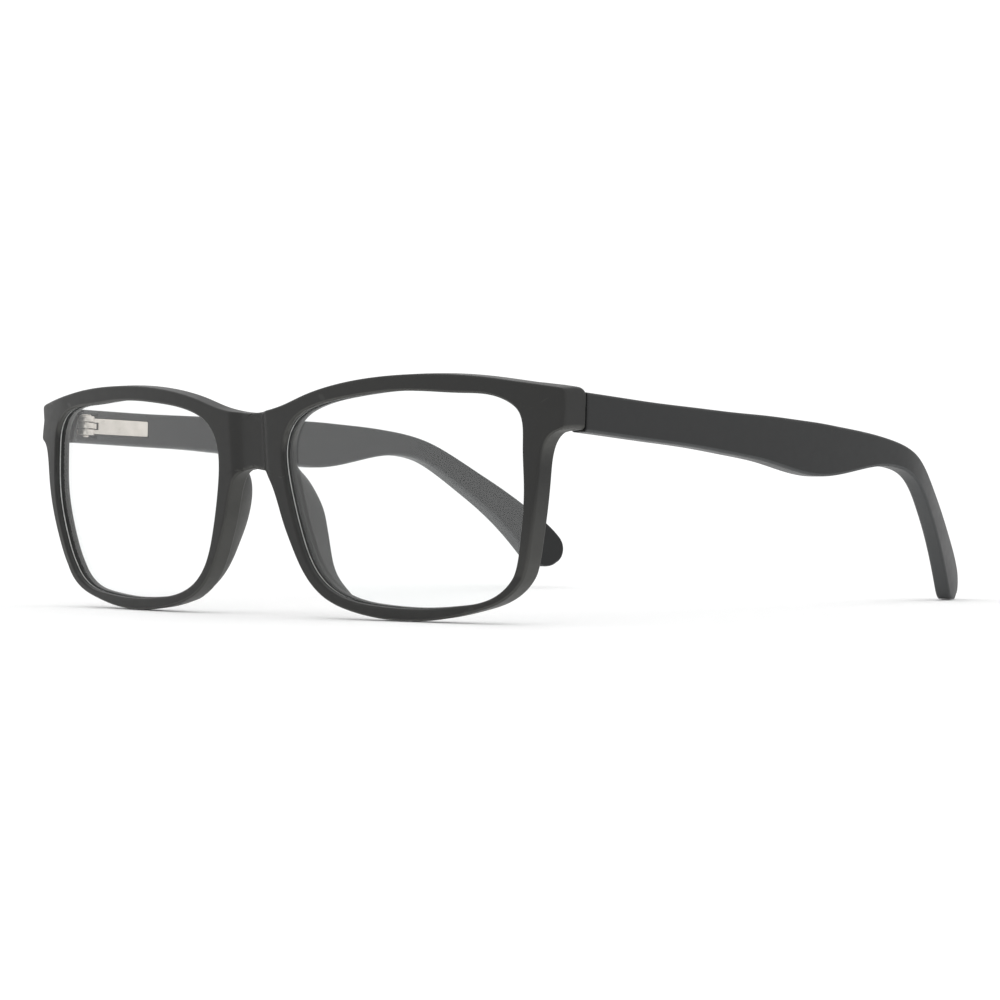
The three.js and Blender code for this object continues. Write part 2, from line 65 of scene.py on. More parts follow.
def make_camera():
    """A camera on the wearer's left, level with the lenses, that looks at the left end piece."""
    turn, rise, roll = (math.radians(a) for a in (CAMERA_AZIMUTH, CAMERA_ELEVATION, CAMERA_ROLL))
    facing = Matrix.Rotation(turn, 4, "Z") @ Matrix.Rotation(math.pi / 2 - rise, 4, "X")
    camera = bpy.data.objects.new("camera", bpy.data.cameras.new("camera"))
    camera.data.lens = CAMERA_LENS
    camera.data.sensor_width = 36
    camera.data.clip_start, camera.data.clip_end = 0.01, 20
    back = facing @ Vector((0, 0, 1, 0))
    place = Vector(CAMERA_AIM) + back.to_3d() * CAMERA_DISTANCE
    camera.matrix_world = Matrix.Translation(place * MM) @ facing @ Matrix.Rotation(roll, 4, "Z")
    bpy.context.scene.collection.objects.link(camera)
    bpy.context.scene.camera = camera


# ---- Curves --------------------------------------------------------------------------------


def spline(points, spacing=0.1, closed=False):
    """The smooth curve through some points, as many points at an even spacing."""
    points = np.asarray(points, float)
    count, lead = len(points), 5 if closed else 0
    if closed:
        points = np.vstack([points[-lead:], points, points[: lead + 1]])
    gaps = np.linalg.norm(np.diff(points, axis=0), axis=1)
    knots = np.concatenate([[0], np.cumsum(gaps)])
    slopes = np.diff(points, axis=0) / gaps[:, None]
    matrix, bend = np.eye(len(points)), np.zeros_like(points)
    for i in range(1, len(points) - 1):
        matrix[i, i - 1 : i + 2] = gaps[i - 1], 2 * (gaps[i - 1] + gaps[i]), gaps[i]
        bend[i] = 6 * (slopes[i] - slopes[i - 1])
    bend = np.linalg.solve(matrix, bend)
    last = lead + count if closed else count - 1
    at = np.linspace(knots[lead], knots[last], int((knots[last] - knots[lead]) / spacing * 4) + 2)
    i = np.clip(np.searchsorted(knots, at, side="right") - 1, 0, len(gaps) - 1)
    gap = gaps[i][:, None]
    a = (knots[i + 1] - at)[:, None] / gap
    b = 1 - a
    curve = a * points[i] + b * points[i + 1]
    curve += ((a**3 - a) * bend[i] + (b**3 - b) * bend[i + 1]) * gap**2 / 6
    length = np.linalg.norm(np.diff(curve, axis=0), axis=1).sum()
    return resample(curve, int(length / spacing) + 1)


def resample(line, count, turn_cost=0.0):
    """A line as count points, evenly spaced but closer together where it turns.

    turn_cost is in length per radian.
    """
    steps = np.diff(line, axis=0)
    lengths = np.linalg.norm(steps, axis=1)
    along = np.concatenate([[0], np.cumsum(lengths)])
    if turn_cost:
        ways = steps / np.maximum(lengths, 1e-9)[:, None]
        turns = np.arccos(np.clip((ways[1:] * ways[:-1]).sum(1), -1, 1))
        cost = lengths.copy()
        cost[1:] += turn_cost * turns / 2
        cost[:-1] += turn_cost * turns / 2
        paid = np.concatenate([[0], np.cumsum(cost)])
    else:
        paid = along
    at = np.interp(np.linspace(0, paid[-1], count), paid, along)
    return np.stack([np.interp(at, along, column) for column in line.T], 1)


def smoothstep(x):
    """A soft step from 0 to 1."""
    x = np.clip(x, 0, 1)
    return x * x * (3 - 2 * x)


def distance_to(line, points):
    """How far each 2-D point lies from a dense line."""
    tree = KDTree(len(line))
    for i, (x, y) in enumerate(line):
        tree.insert((x, y, 0), i)
    tree.balance()
    nearest = np.array([tree.find((x, y, 0))[1] for x, y in points])
    best = np.full(len(points), np.inf)
    for first in (nearest - 1, nearest):
        first = np.clip(first, 0, len(line) - 2)
        start, step = line[first], line[first + 1] - line[first]
        share = ((points - start) * step).sum(1) / np.maximum((step**2).sum(1), 1e-12)
        foot = start + np.clip(share, 0, 1)[:, None] * step
        best = np.minimum(best, np.linalg.norm(points - foot, axis=1))
    return best


# ---- Meshes --------------------------------------------------------------------------------


def clean(mesh, distance):
    """Joins points that lie together and makes every face point outward."""
    tidy = bmesh.new()
    tidy.from_mesh(mesh)
    bmesh.ops.remove_doubles(tidy, verts=tidy.verts, dist=distance)
    bmesh.ops.dissolve_degenerate(tidy, edges=tidy.edges, dist=distance / 10)
    bmesh.ops.recalc_face_normals(tidy, faces=tidy.faces)
    tidy.to_mesh(mesh)
    tidy.free()


def solid(points, faces):
    """A closed mesh in millimetres."""
    mesh = bpy.data.meshes.new("solid")
    mesh.from_pydata(np.asarray(points).tolist(), [], faces)
    clean(mesh, 1e-4)
    return mesh


def piece(name, mesh, body, replaced, place=None, sharp=35):
    """A piece of the object from a mesh in millimetres: it rides on a body and stands for some CAD nodes."""
    points = np.empty(len(mesh.vertices) * 3)
    mesh.vertices.foreach_get("co", points)
    points = points.reshape(-1, 3)
    points = place(points) if place else points
    mesh = mesh.copy()
    mesh.name = name
    mesh.vertices.foreach_set("co", (points * MM).ravel())
    clean(mesh, 1e-7)
    mesh.shade_smooth()
    mesh.set_sharp_from_angle(angle=math.radians(sharp))
    obj = bpy.data.objects.new(name, mesh)
    bpy.context.scene.collection.objects.link(obj)
    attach(obj, body)
    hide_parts(*replaced)
    return obj


def combined(mesh, tools, operation="DIFFERENCE"):
    """A closed mesh cut by other closed meshes, or joined with them."""
    body = bpy.data.objects.new("body", mesh)
    bpy.context.scene.collection.objects.link(body)
    helpers = [body]
    for tool in tools:
        helper = bpy.data.objects.new("tool", tool)
        bpy.context.scene.collection.objects.link(helper)
        helpers.append(helper)
        modifier = body.modifiers.new("combine", "BOOLEAN")
        modifier.operation, modifier.solver, modifier.object = operation, "EXACT", helper
    depsgraph = bpy.context.evaluated_depsgraph_get()
    result = bpy.data.meshes.new_from_object(body.evaluated_get(depsgraph))
    for helper in helpers:
        bpy.data.objects.remove(helper)
    clean(result, 1e-4)
    return result


def plate(loops, low, high, bevel):
    """A flat piece with rounded edges, from closed outlines and between two heights."""
    curve = bpy.data.curves.new("plate", "CURVE")
    curve.dimensions, curve.fill_mode = "2D", "BOTH"
    curve.extrude, curve.offset = (high - low) / 2 - bevel, -bevel
    curve.bevel_depth, curve.bevel_resolution = bevel, 2
    for loop in loops:
        line = curve.splines.new("POLY")
        line.points.add(len(loop) - 1)
        places = np.column_stack([loop, np.zeros(len(loop)), np.ones(len(loop))])
        line.points.foreach_set("co", places.ravel())
        line.use_cyclic_u = True
    holder = bpy.data.objects.new("plate", curve)
    mesh = bpy.data.meshes.new_from_object(holder)
    bpy.data.objects.remove(holder)
    mesh.transform(Matrix.Translation((0, 0, (low + high) / 2)))
    clean(mesh, 1e-4)
    return mesh


def turned(mesh, axes):
    """A mesh with its axes in another order, such as "zxy": its old x becomes the new z."""
    rows = [[1.0 if axes[old] == "xyz"[new] else 0.0 for old in range(3)] for new in range(3)]
    mesh.transform(Matrix(rows).to_4x4())
    clean(mesh, 1e-4)
    return mesh


def rounded_box(low, high, radius, steps=5):
    """The outline of a rectangle with round corners."""
    low, high = np.asarray(low, float) + radius, np.asarray(high, float) - radius
    turn = np.linspace(0, math.pi / 2, steps)
    loop = []
    corners = [(high[0], high[1]), (low[0], high[1]), (low[0], low[1]), (high[0], low[1])]
    for quarter, corner in enumerate(corners):
        at = turn + quarter * math.pi / 2
        loop.append(np.stack([corner[0] + radius * np.cos(at), corner[1] + radius * np.sin(at)], 1))
    return np.vstack(loop)


def circle(radius, sides=48):
    """The outline of a circle about the origin."""
    turn = np.arange(sides) * 2 * math.pi / sides
    return np.stack([radius * np.cos(turn), radius * np.sin(turn)], 1)


def lathe(profile, sides=48):
    """The closed mesh that a profile (radius, height) sweeps out about the vertical."""
    rings = np.array([[(r * math.cos(t), r * math.sin(t), z) for r, z in profile]
                      for t in np.arange(sides) * 2 * math.pi / sides])
    count = len(profile)
    faces = []
    for ring in range(sides):
        here, there = ring * count, (ring + 1) % sides * count
        faces += [(here + i, here + i + 1, there + i + 1, there + i) for i in range(count - 1)]
    return solid(rings.reshape(-1, 3), faces)


def upright_plate(low, high, radius, inner, outer, bevel):
    """A plate that stands upright: its outline runs back and up, and its thickness lies sideways."""
    return turned(plate([rounded_box(low, high, radius)], inner, outer, bevel), "yzx")


def block(low, high):
    """A plain cutter, from its lowest to its highest corner."""
    return plate([rounded_box(low[:2], high[:2], 0.01, 2)], low[2], high[2], 0.001)


def ring_faces(rings, count, closed):
    """The quads between neighbouring rings of count points each."""
    faces = []
    for ring in range(rings if closed else rings - 1):
        here, there = ring * count, (ring + 1) % rings * count
        for i in range(count):
            j = (i + 1) % count
            faces.append((here + i, here + j, there + j, there + i))
    return faces


make_camera()

# ---- Front ---------------------------------------------------------------------------------

LENGTH_TO_CENTRE = 68.1
CURVE_RADIUS = 358
TILT = math.radians(3.52)
LENS_HEIGHT = 18.46
WRAP_START, WRAP_END, WRAP_DEPTH = 58, 69.7, 1.15
BULGE_START, BULGE_REACH, BULGE_UP, BULGE_HALF_HEIGHT, BULGE_DEPTH = 20, 46, 3, 14, 1.3
THICKNESS = 3.6
OUTLINE_STEP, OUTLINE_SOFTENING, SIDE_POINTS = 0.05, 0.6, 137
EDGE_ROUND, CORNER_ROUND = 0.45, 1.1
# The back's rounded edge gets smaller where the pads and end pieces stand out.
BACK_ROUND_FADE, BACK_ROUND_LEAST = 1.2, 0.25
# The end piece: a ramp and then a block, sideways, and the height at which both start.
RAMP_START, RAMP_REACH, RAMP_DEPTH = 63.3, 2.1, 0.9
BLOCK_START, BLOCK_REACH, BLOCK_LOW, BLOCK_RISE = 65.3, 0.45, 12.75, 0.4
# How the end piece drops towards the joint, and how its top corner is rounded.
DROP_SLOPE, DROP_START, DROP_REACH = 0.098, 60, 5
CORNER_SHARE, CORNER_LOW, CORNER_REACH = 0.8, 15, 5
# The swelling of the nose pads, on the bearing side and on the outer side.
PAD_SWELL, PAD_BLUNT, PAD_FALL = 1.7, 0.87, 2.4
# How finely the front is divided: round it, across the bridge, and along each section.
OUTER_POINTS, BRIDGE_POINTS, SHARE_POINTS = 470, 26, 121
FACE_POINTS, REAR_POINTS, WALL_POINTS = 26, 40, 16
OUTER_TURN_COST, SECTION_TURN_COST = 4, 1.2
GROOVE_START, GROOVE_END, GROOVE_DEPTH = 1.0, 2.3, 0.8
RECESS_HALF_WIDTH, RECESS_FLOOR, RECESS_DEPTH = 5.1, 2.5, 1.0

TOP_EDGE = [(0, 17.5), (4.5, 17.9), (9, 18.8), (14, 20.3), (20, 21.7), (28, 22.8), (40, 23.3),
            (52, 22.7), (62, 21.3), (69.7, 20)]
LOWER_EDGE = [(0, 7.7), (2.3, 7.4), (4.2, 6.4), (5.4, 4.6), (6.5, 1.9), (7.8, -1.9), (9.4, -5.5),
              (11.2, -9), (13.6, -12.3), (17.5, -15.3), (22.5, -17.1), (29, -18.3), (37, -18.75),
              (45, -18.1), (51, -16.9), (56.6, -15.1), (60.65, -11.8), (62.9, -6.5), (64.6, 0),
              (65.5, 5.5), (66.2, 10), (67.1, 11.9), (68.4, 12.9), (69.7, 13.2)]
LENS_EDGE = [(62.6, 3.7), (62.5, 10.7), (61.6, 16.2), (58, 18.7), (50, 19.8), (38.4, 20.5),
             (25.8, 19.8), (16.1, 18.1), (11.2, 15.6), (8.9, 11.5), (8.8, 7.5), (9.6, 3), (11.6, -4.2),
             (14.2, -9.8), (17.6, -13.1), (22.5, -15.2), (30, -16.3), (39.2, -16.6), (47.5, -16),
             (54.5, -14.5), (58.7, -11.3), (61, -5.6)]
LENS_CENTRE = np.array([35.6, 1.5])

HINGE = np.array([65.2, 14.05, 34.98])
HINGE_TILT = math.radians(2.1)
JOINT_FACE = -1.85
# The clearance round metal that is let into the plastic.
FIT = 0.15
LEAF_INNER, LEAF_OUTER, LEAF_FRONT, LEAF_BACK, LEAF_HALF_HEIGHT = 0.9, 2.4, -5.05, -1.95, 1.85

# Nose pads: how high, the bearing edge, the back edge and the outer edge sideways, and how deep the back edge
# lies.
PAD_STATIONS = np.array([
    (-17, 20.5, 21.5, 23.5, 3.6), (-14.3, 16.8, 17.8, 19.8, 4.9), (-12.4, 14.3, 15.6, 17.3, 5.4),
    (-9.2, 11.8, 13.4, 14.3, 6.3), (-6.1, 10.1, 12.1, 12.8, 7.1), (-3, 8.6, 10.9, 11.5, 7.8),
    (-0.2, 7.5, 9.9, 10.6, 8.1), (2.8, 6.4, 8.6, 9.8, 7.7), (5.8, 5.6, 7.3, 9.1, 6.4),
    (7.6, 5.2, 6.6, 8.6, 4.9), (9.4, 5, 6.2, 8.4, 3.6)])


def from_hinge(points, side=1):
    """From the hinge's frame (outward, back and up from the pin) to its place on one side."""
    out, back, up = np.asarray(points).T
    cos, sin = math.cos(HINGE_TILT), math.sin(HINGE_TILT)
    places = np.stack([out, back * cos + up * sin, up * cos - back * sin], 1)
    places = places + HINGE - (0, LENGTH_TO_CENTRE, 0)
    return places * (side, 1, 1)


def to_hinge(places):
    """From a place on the left to the hinge's frame."""
    out, back, up = np.moveaxis(np.asarray(places) - HINGE + (0, LENGTH_TO_CENTRE, 0), -1, 0)
    cos, sin = math.cos(HINGE_TILT), math.sin(HINGE_TILT)
    return np.stack([out, back * cos - up * sin, up * cos + back * sin], -1)


def place_mesh(mesh, place):
    """Moves every point of a mesh."""
    points = np.empty(len(mesh.vertices) * 3)
    mesh.vertices.foreach_get("co", points)
    mesh.vertices.foreach_set("co", place(points.reshape(-1, 3)).ravel())
    clean(mesh, 1e-4)


def curve_back(across, up):
    """How far the front's face curves back from a flat plane: least at middle height on the outer sides."""
    wrap = np.clip((np.abs(across) - WRAP_START) / (WRAP_END - WRAP_START), 0, None)
    outer_side = np.clip((np.abs(across) - BULGE_START) / BULGE_REACH, 0, None)
    height = np.clip(1 - ((up - BULGE_UP) / BULGE_HALF_HEIGHT) ** 2, 0, None)
    bulge = BULGE_DEPTH * outer_side**2 * height
    return CURVE_RADIUS * (1 - np.cos(across / CURVE_RADIUS)) + WRAP_DEPTH * wrap**2 - bulge


def on_front(flat):
    """From the front's flat plane (sideways, up, depth) to its curved and tilted place."""
    across, up, depth = np.asarray(flat).T
    back = curve_back(across, up) + depth
    return np.stack([
        CURVE_RADIUS * np.sin(across / CURVE_RADIUS),
        back * math.cos(TILT) - up * math.sin(TILT) - LENGTH_TO_CENTRE,
        np.maximum(0, back * math.sin(TILT) + up * math.cos(TILT) + LENS_HEIGHT)], 1)


def mirrored_half(points):
    """A symmetric curve's half from the middle outward."""
    both = [(-x, y) for x, y in points[:0:-1]] + list(points)
    curve = spline(both, OUTLINE_STEP)
    half = curve[len(curve) // 2 :]
    half[0] = points[0]
    return half


def softened(line, reach):
    """An outline half with its corners rounded; it stays square to the middle plane at both ends."""
    count = int(4 * reach / OUTLINE_STEP)
    kernel = np.exp(-0.5 * (np.arange(-count, count + 1) * OUTLINE_STEP / reach) ** 2)
    flip = np.array([-1, 1])
    long = np.vstack([line[count:0:-1] * flip, line, line[-2 : -count - 2 : -1] * flip])
    return np.stack([np.convolve(c, kernel / kernel.sum(), "valid") for c in long.T], 1)


def outer_line():
    """Half of the front's outline, from the top of the bridge round to its underside."""
    top, lower = mirrored_half(TOP_EDGE), mirrored_half(LOWER_EDGE)
    side = np.linspace(top[-1], lower[-1], SIDE_POINTS)[1:-1]
    line = np.vstack([top, side, lower[::-1]])
    length = np.linalg.norm(np.diff(line, axis=0), axis=1).sum()
    return softened(resample(line, int(length / OUTLINE_STEP)), OUTLINE_SOFTENING)


def offset_loop(line, distance):
    """A closed anticlockwise loop, moved outward."""
    way = np.roll(line, -1, 0) - np.roll(line, 1, 0)
    way /= np.linalg.norm(way, axis=1)[:, None]
    return line + distance * np.stack([way[:, 1], -way[:, 0]], 1)


def polar(loop):
    """How far a loop lies from the lens centre, as a function of the direction."""
    spokes = loop - LENS_CENTRE
    turn, reach = np.arctan2(spokes[:, 1], spokes[:, 0]), np.linalg.norm(spokes, axis=1)
    order = np.argsort(turn)
    return lambda angle: np.interp(angle, turn[order], reach[order], period=2 * math.pi)


def recess(across):
    """How much deeper the bridge's middle lies than the rims, with soft sides."""
    from_floor = (np.abs(across) - RECESS_FLOOR) / (RECESS_HALF_WIDTH - RECESS_FLOOR)
    return RECESS_DEPTH * (1 - smoothstep(from_floor))


def edge_drop(distance, radius):
    """How far a face falls away at a distance from its rounded edge."""
    inside = np.clip(1 - distance / np.maximum(radius, 1e-6), 0, 1)
    return radius * (1 - np.sqrt(1 - inside**2))


def joint_depth(across, up):
    """The depth at which the end piece's back face lies."""
    lean = math.tan(HINGE_TILT)
    height = up * math.cos(TILT) + LENS_HEIGHT - HINGE[2]
    face = JOINT_FACE / math.cos(HINGE_TILT) + HINGE[1] + height * lean
    return face + up * math.sin(TILT) - curve_back(across, up)


def back_depth(across, up):
    """How deep the back of the front lies: the rim, the nose pads and the end piece."""
    near, ridge, far, depth = (np.interp(up, pad_line[0], column) for column in pad_line[1:])
    rise = np.clip((across - near) / (ridge - near), 0, 1)
    fall = np.clip((across - ridge) / (far - ridge), 0, 1)
    pad = (1 - (1 - rise) ** PAD_SWELL) ** PAD_BLUNT * (1 - fall**PAD_FALL)
    ramp = RAMP_DEPTH * np.clip((across - RAMP_START) / RAMP_REACH, 0, 1)
    standing = smoothstep((across - BLOCK_START) / BLOCK_REACH)
    end_piece = ramp + (joint_depth(across, up) - THICKNESS - ramp) * standing
    end_piece *= smoothstep((up - BLOCK_LOW) / BLOCK_RISE)
    return THICKNESS + (depth - THICKNESS) * pad + end_piece


pad_line = spline(PAD_STATIONS, 0.2).T
outer = outer_line()
inner = spline(LENS_EDGE, OUTLINE_STEP, closed=True)[:-1]


def half_front():
    """Half of the front in its flat plane: sections round the lens, cut open at the bridge's middle."""
    bridge = np.linspace(outer[-1], outer[0], BRIDGE_POINTS)[1:-1]
    ends = np.vstack([resample(outer, OUTER_POINTS, turn_cost=OUTER_TURN_COST), bridge])
    spokes = ends - LENS_CENTRE
    angles = np.unwrap(np.arctan2(spokes[:, 1], spokes[:, 0]))
    # the sections never turn back, and no two have the same direction
    least_turn = np.arange(len(angles)) * 1e-4
    angles = np.minimum.accumulate(angles + least_turn) - least_turn
    way = np.stack([np.cos(angles), np.sin(angles)], 1)
    starts = LENS_CENTRE + way * polar(inner)(angles)[:, None]
    deeps = LENS_CENTRE + way * polar(offset_loop(inner, GROOVE_DEPTH))(angles)[:, None]
    share = smoothstep(np.linspace(0, 1, SHARE_POINTS))[:, None]
    flats = starts[:, None] + (ends - starts)[:, None] * share
    points = flats.reshape(-1, 2)
    gap = np.minimum(distance_to(outer, points), distance_to(np.vstack([inner, inner[:1]]), points))
    fronts = recess(points[:, 0]) + edge_drop(gap, EDGE_ROUND)
    backs = back_depth(points[:, 0], points[:, 1])
    radius = EDGE_ROUND * np.clip(BACK_ROUND_FADE - (backs - THICKNESS), BACK_ROUND_LEAST, 1)
    backs = backs - edge_drop(gap, radius)
    fronts, backs = (a.reshape(flats.shape[:2]) for a in (fronts, backs))
    wall_shares = 1 - (1 - np.linspace(0, 1, WALL_POINTS)[1:-1, None]) ** 2
    sections = []
    for flat, front, back, start, deep in zip(flats, fronts, backs, starts, deeps):
        face = resample(np.column_stack([flat, front]), FACE_POINTS, SECTION_TURN_COST)
        rear = resample(np.column_stack([flat, back]), REAR_POINTS, SECTION_TURN_COST)[::-1]
        wall = face[-1] + (rear[0] - face[-1]) * wall_shares
        groove = [(*start, GROOVE_END), (*deep, GROOVE_END), (*deep, GROOVE_START), (*start, GROOVE_START)]
        sections.append(np.vstack([face, wall, rear, groove]))
    return np.array(sections)


def front_shell():
    """The whole front: both halves, joined at the middle, with a pocket for each hinge leaf."""
    sections = half_front()
    count = sections.shape[1]
    points = sections.reshape(-1, 3)
    faces = ring_faces(len(sections), count, closed=True)
    middle = np.abs(points[:, 0]) < 1e-6
    faces = [f for f in faces if not all(middle[i] for i in f)]
    flipped = points * np.array([-1, 1, 1])
    both = np.vstack([points, flipped])
    faces += [tuple(i + len(points) for i in f[::-1]) for f in faces]
    # the end pieces' top and underside follow the temples down towards the joint,
    # and the top's corner is round
    outside = smoothstep((np.abs(both[:, 0]) - DROP_START) / DROP_REACH)
    to_joint = np.clip(joint_depth(np.abs(both[:, 0]), both[:, 1]) - both[:, 2], 0, None)
    corner = edge_drop(to_joint, CORNER_ROUND) * smoothstep((both[:, 1] - CORNER_LOW) / CORNER_REACH)
    drop = DROP_SLOPE * np.clip(both[:, 2] - THICKNESS, 0, None) + CORNER_SHARE * corner
    both[:, 1] -= drop * outside
    pockets = []
    for side in SIDES.values():
        pocket = block((LEAF_INNER - FIT, LEAF_FRONT - FIT, -LEAF_HALF_HEIGHT - FIT),
                       (LEAF_OUTER + FIT, JOINT_FACE + 1, LEAF_HALF_HEIGHT + FIT))
        place_mesh(pocket, lambda points: from_hinge(points, side))
        pockets.append(pocket)
    return combined(solid(on_front(both), faces), pockets)


shell = piece("front_shell", front_shell(), "front", ["front_frame", "nose_pad_left", "nose_pad_right"])

# ---- Lenses --------------------------------------------------------------------------------

LENS_FRONT, LENS_BACK, LENS_REACH = 1.15, 2.15, 0.5
FACET_DEPTH, FACET_REACH = 0.3, 0.1
# The clear faces stop just short of the rim.
CLEAR_SHARE = 0.999
LENS_SPOKES, LENS_RINGS = 360, 16


def lens_mesh():
    """A clear sheet that follows the front's curve, with a bevelled edge that sits in the groove."""
    angles = np.linspace(-math.pi, math.pi, LENS_SPOKES + 1)[:-1]
    way = np.stack([np.cos(angles), np.sin(angles)], 1)
    edge = polar(inner)(angles)[:, None]
    apex = polar(offset_loop(inner, LENS_REACH))(angles)[:, None]
    shares = np.linspace(0, 1, LENS_RINGS + 1)[1:]

    def ring(reach, depth):
        return np.column_stack([LENS_CENTRE + way * reach, np.full(LENS_SPOKES, depth)])

    front_rings = [ring(edge * share * CLEAR_SHARE, LENS_FRONT) for share in shares]
    back_rings = [ring(edge * share * CLEAR_SHARE, LENS_BACK) for share in shares[::-1]]
    facet = ring(edge * CLEAR_SHARE + FACET_REACH, LENS_FRONT + FACET_DEPTH)
    ridge = ring(apex, (LENS_FRONT + LENS_BACK) / 2)
    rings = np.array(front_rings + [facet, ridge] + back_rings)
    points = np.vstack([rings.reshape(-1, 3), [(*LENS_CENTRE, LENS_FRONT), (*LENS_CENTRE, LENS_BACK)]])
    faces = ring_faces(len(rings), LENS_SPOKES, closed=False)
    last = (len(rings) - 1) * LENS_SPOKES
    for i in range(LENS_SPOKES):
        j = (i + 1) % LENS_SPOKES
        faces.append((len(points) - 2, i, j))
        faces.append((len(points) - 1, last + j, last + i))
    mesh = bpy.data.meshes.new("lens")
    mesh.from_pydata(points.tolist(), [], faces)
    # three materials: 0 the clear faces, 1 the facet's band, 2 the two bands of the bevel
    looks = np.zeros(len(faces), int)
    looks[LENS_SPOKES * (LENS_RINGS - 1) : LENS_SPOKES * LENS_RINGS] = 1
    looks[LENS_SPOKES * LENS_RINGS : LENS_SPOKES * (LENS_RINGS + 2)] = 2
    for _ in range(3):
        mesh.materials.append(None)
    mesh.polygons.foreach_set("material_index", looks)
    return mesh


lens_shape = lens_mesh()
lenses = {side: piece(f"lens_clear_{side}", lens_shape, "front", [f"lens_{side}"],
                      lambda points: on_front(points * (sign, 1, 1)), sharp=20)
          for side, sign in SIDES.items()}

# ---- Temples -------------------------------------------------------------------------------

# Along the temple: how far back from the pin, how high above it, and how tall the temple is.
TEMPLE_LINE = [(-4.3, 0.25, 6.6), (5.7, -0.55, 6.6), (15.7, -1.37, 6.65), (26.7, -2.17, 6.9),
               (37.7, -3.13, 7.5), (46.7, -3.95, 8.3), (54.7, -5.03, 9.35), (61.7, -5.72, 9.65),
               (68.2, -5.85, 8.6), (74.7, -5.75, 6.95), (81.2, -5.95, 5.4), (86.9, -6.75, 4.7),
               (92, -8.35, 4.5), (96.2, -10.75, 4.6), (101.8, -14.95, 5.1), (107.6, -19.65, 5.9),
               (113.3, -25.05, 7.1), (117.4, -29.65, 8.1), (120.6, -34.25, 8)]
# From above: how far back, and how far out the outer face lies.
TEMPLE_PLAN = [(-14.3, 69.3), (-2.3, 69.38), (25.7, 69.4), (50.7, 69.4), (70.7, 69.3), (85.7, 68.9),
               (92.7, 68.1), (100.7, 65.6), (110.7, 61.6), (123.7, 56.3)]
TEMPLE_THICKNESS, TEMPLE_ROUND, TIP_ROUND, JOINT_ROUND = 3.5, 0.6, 4.2, 0.2
JOINT_GAP = 0.14
TEMPLE_START = JOINT_FACE + JOINT_GAP
HOUSING_START, HOUSING_END = 3.35, 15.95
JOINT_RINGS, ARM_RINGS, TIP_RINGS, CORNER_STEPS = 6, 252, 30, 8
TIP_TURN = math.radians(88)
JOINT_FADE = 8
# The room for the knuckles and the trough for the housing, measured from the pin.
ROOM_INNER, ROOM_FRONT, ROOM_OUTER, ROOM_HALF_HEIGHT = -5, -9, 2.35, 2.4
TROUGH_INNER, TROUGH_OUTER, TROUGH_HALF_HEIGHT, TROUGH_ROUND = -5, 3.05, 1.7, 0.35
DROOP = {"left": math.radians(0.15), "right": math.radians(-2.1)}
SPLAY = {"left": 0, "right": math.radians(1.6)}


def on_temple(points, side):
    """From a temple's own frame (out from the middle, back and up from the pin) to its place on the left."""
    out, back, up = (points - (HINGE[0], 0, 0)).T
    turn, droop = SPLAY[side], DROOP[side]
    out, back = out * math.cos(turn) - back * math.sin(turn), out * math.sin(turn) + back * math.cos(turn)
    back, up = back * math.cos(droop) + up * math.sin(droop), up * math.cos(droop) - back * math.sin(droop)
    return np.stack([out, back, up], 1) + HINGE - (0, LENGTH_TO_CENTRE, 0)


def temple_rings(side):
    """Rings round a temple, from its joint face to its round tip, each a rounded rectangle."""
    line = spline(TEMPLE_LINE, OUTLINE_STEP)
    plan = spline(TEMPLE_PLAN, OUTLINE_STEP)
    steps = np.diff(line[:, :2], axis=0)
    along = np.concatenate([[0], np.cumsum(np.linalg.norm(steps, axis=1))])
    ways = np.gradient(line[:, :2], axis=0)
    ways /= np.linalg.norm(ways, axis=1)[:, None]
    first = np.interp(TEMPLE_START, line[:, 0], along)
    last = along[-1]
    bevel = np.linspace(0, math.pi / 2, JOINT_RINGS)
    tip = np.linspace(0, TIP_TURN, TIP_RINGS)
    places = np.concatenate([
        first + JOINT_ROUND * (1 - np.cos(bevel)),
        np.linspace(first + JOINT_ROUND, last - TIP_ROUND, ARM_RINGS)[1:],
        last - TIP_ROUND * (1 - np.sin(tip[1:]))])
    after_joint = len(places) - JOINT_RINGS
    inset = np.concatenate([JOINT_ROUND * (1 - np.sin(bevel)), np.zeros(after_joint)])
    shrink = np.concatenate([np.ones(len(places) - TIP_RINGS + 1), np.cos(tip[1:])])
    edge = np.clip(1 - (last - places) / TEMPLE_ROUND, 0, 1)
    thin = TEMPLE_ROUND * (1 - np.sqrt(1 - edge**2))
    rings = []
    for i, place in enumerate(places):
        back, up, tall, way_back, way_up = (np.interp(place, along, c) for c in (*line.T, *ways.T))
        half = np.array([TEMPLE_THICKNESS / 2 - thin[i], tall / 2 * shrink[i]]) - inset[i]
        radius = min(TEMPLE_ROUND - inset[i] - thin[i] * 0.9, half[1] * 0.95)
        across, rise = rounded_box(-half, half, radius, CORNER_STEPS).T
        backs = back - way_up * rise
        outs = np.interp(backs, plan[:, 0], plan[:, 1]) - TEMPLE_THICKNESS / 2 + across
        rings.append(np.column_stack([outs, backs, up + way_back * rise]))
    rings = on_temple(np.vstack(rings), side).reshape(len(places), -1, 3)
    # the joint face is flat and follows the hinge, whatever the temple's slope
    wanted = TEMPLE_START + JOINT_ROUND * (1 - np.cos(bevel[:, None]))
    shift = wanted - to_hinge(rings[:JOINT_RINGS])[..., 1]
    fade = 1 - smoothstep((places - first) / JOINT_FADE)
    reach = np.vstack([shift, np.repeat(shift[-1:], after_joint, 0)]) * fade[:, None]
    reach[:JOINT_RINGS] = shift
    slope = rings[2 * JOINT_RINGS, 0] - rings[JOINT_RINGS, 0]
    slope /= slope @ (0, math.cos(HINGE_TILT), -math.sin(HINGE_TILT))
    return rings + reach[..., None] * slope


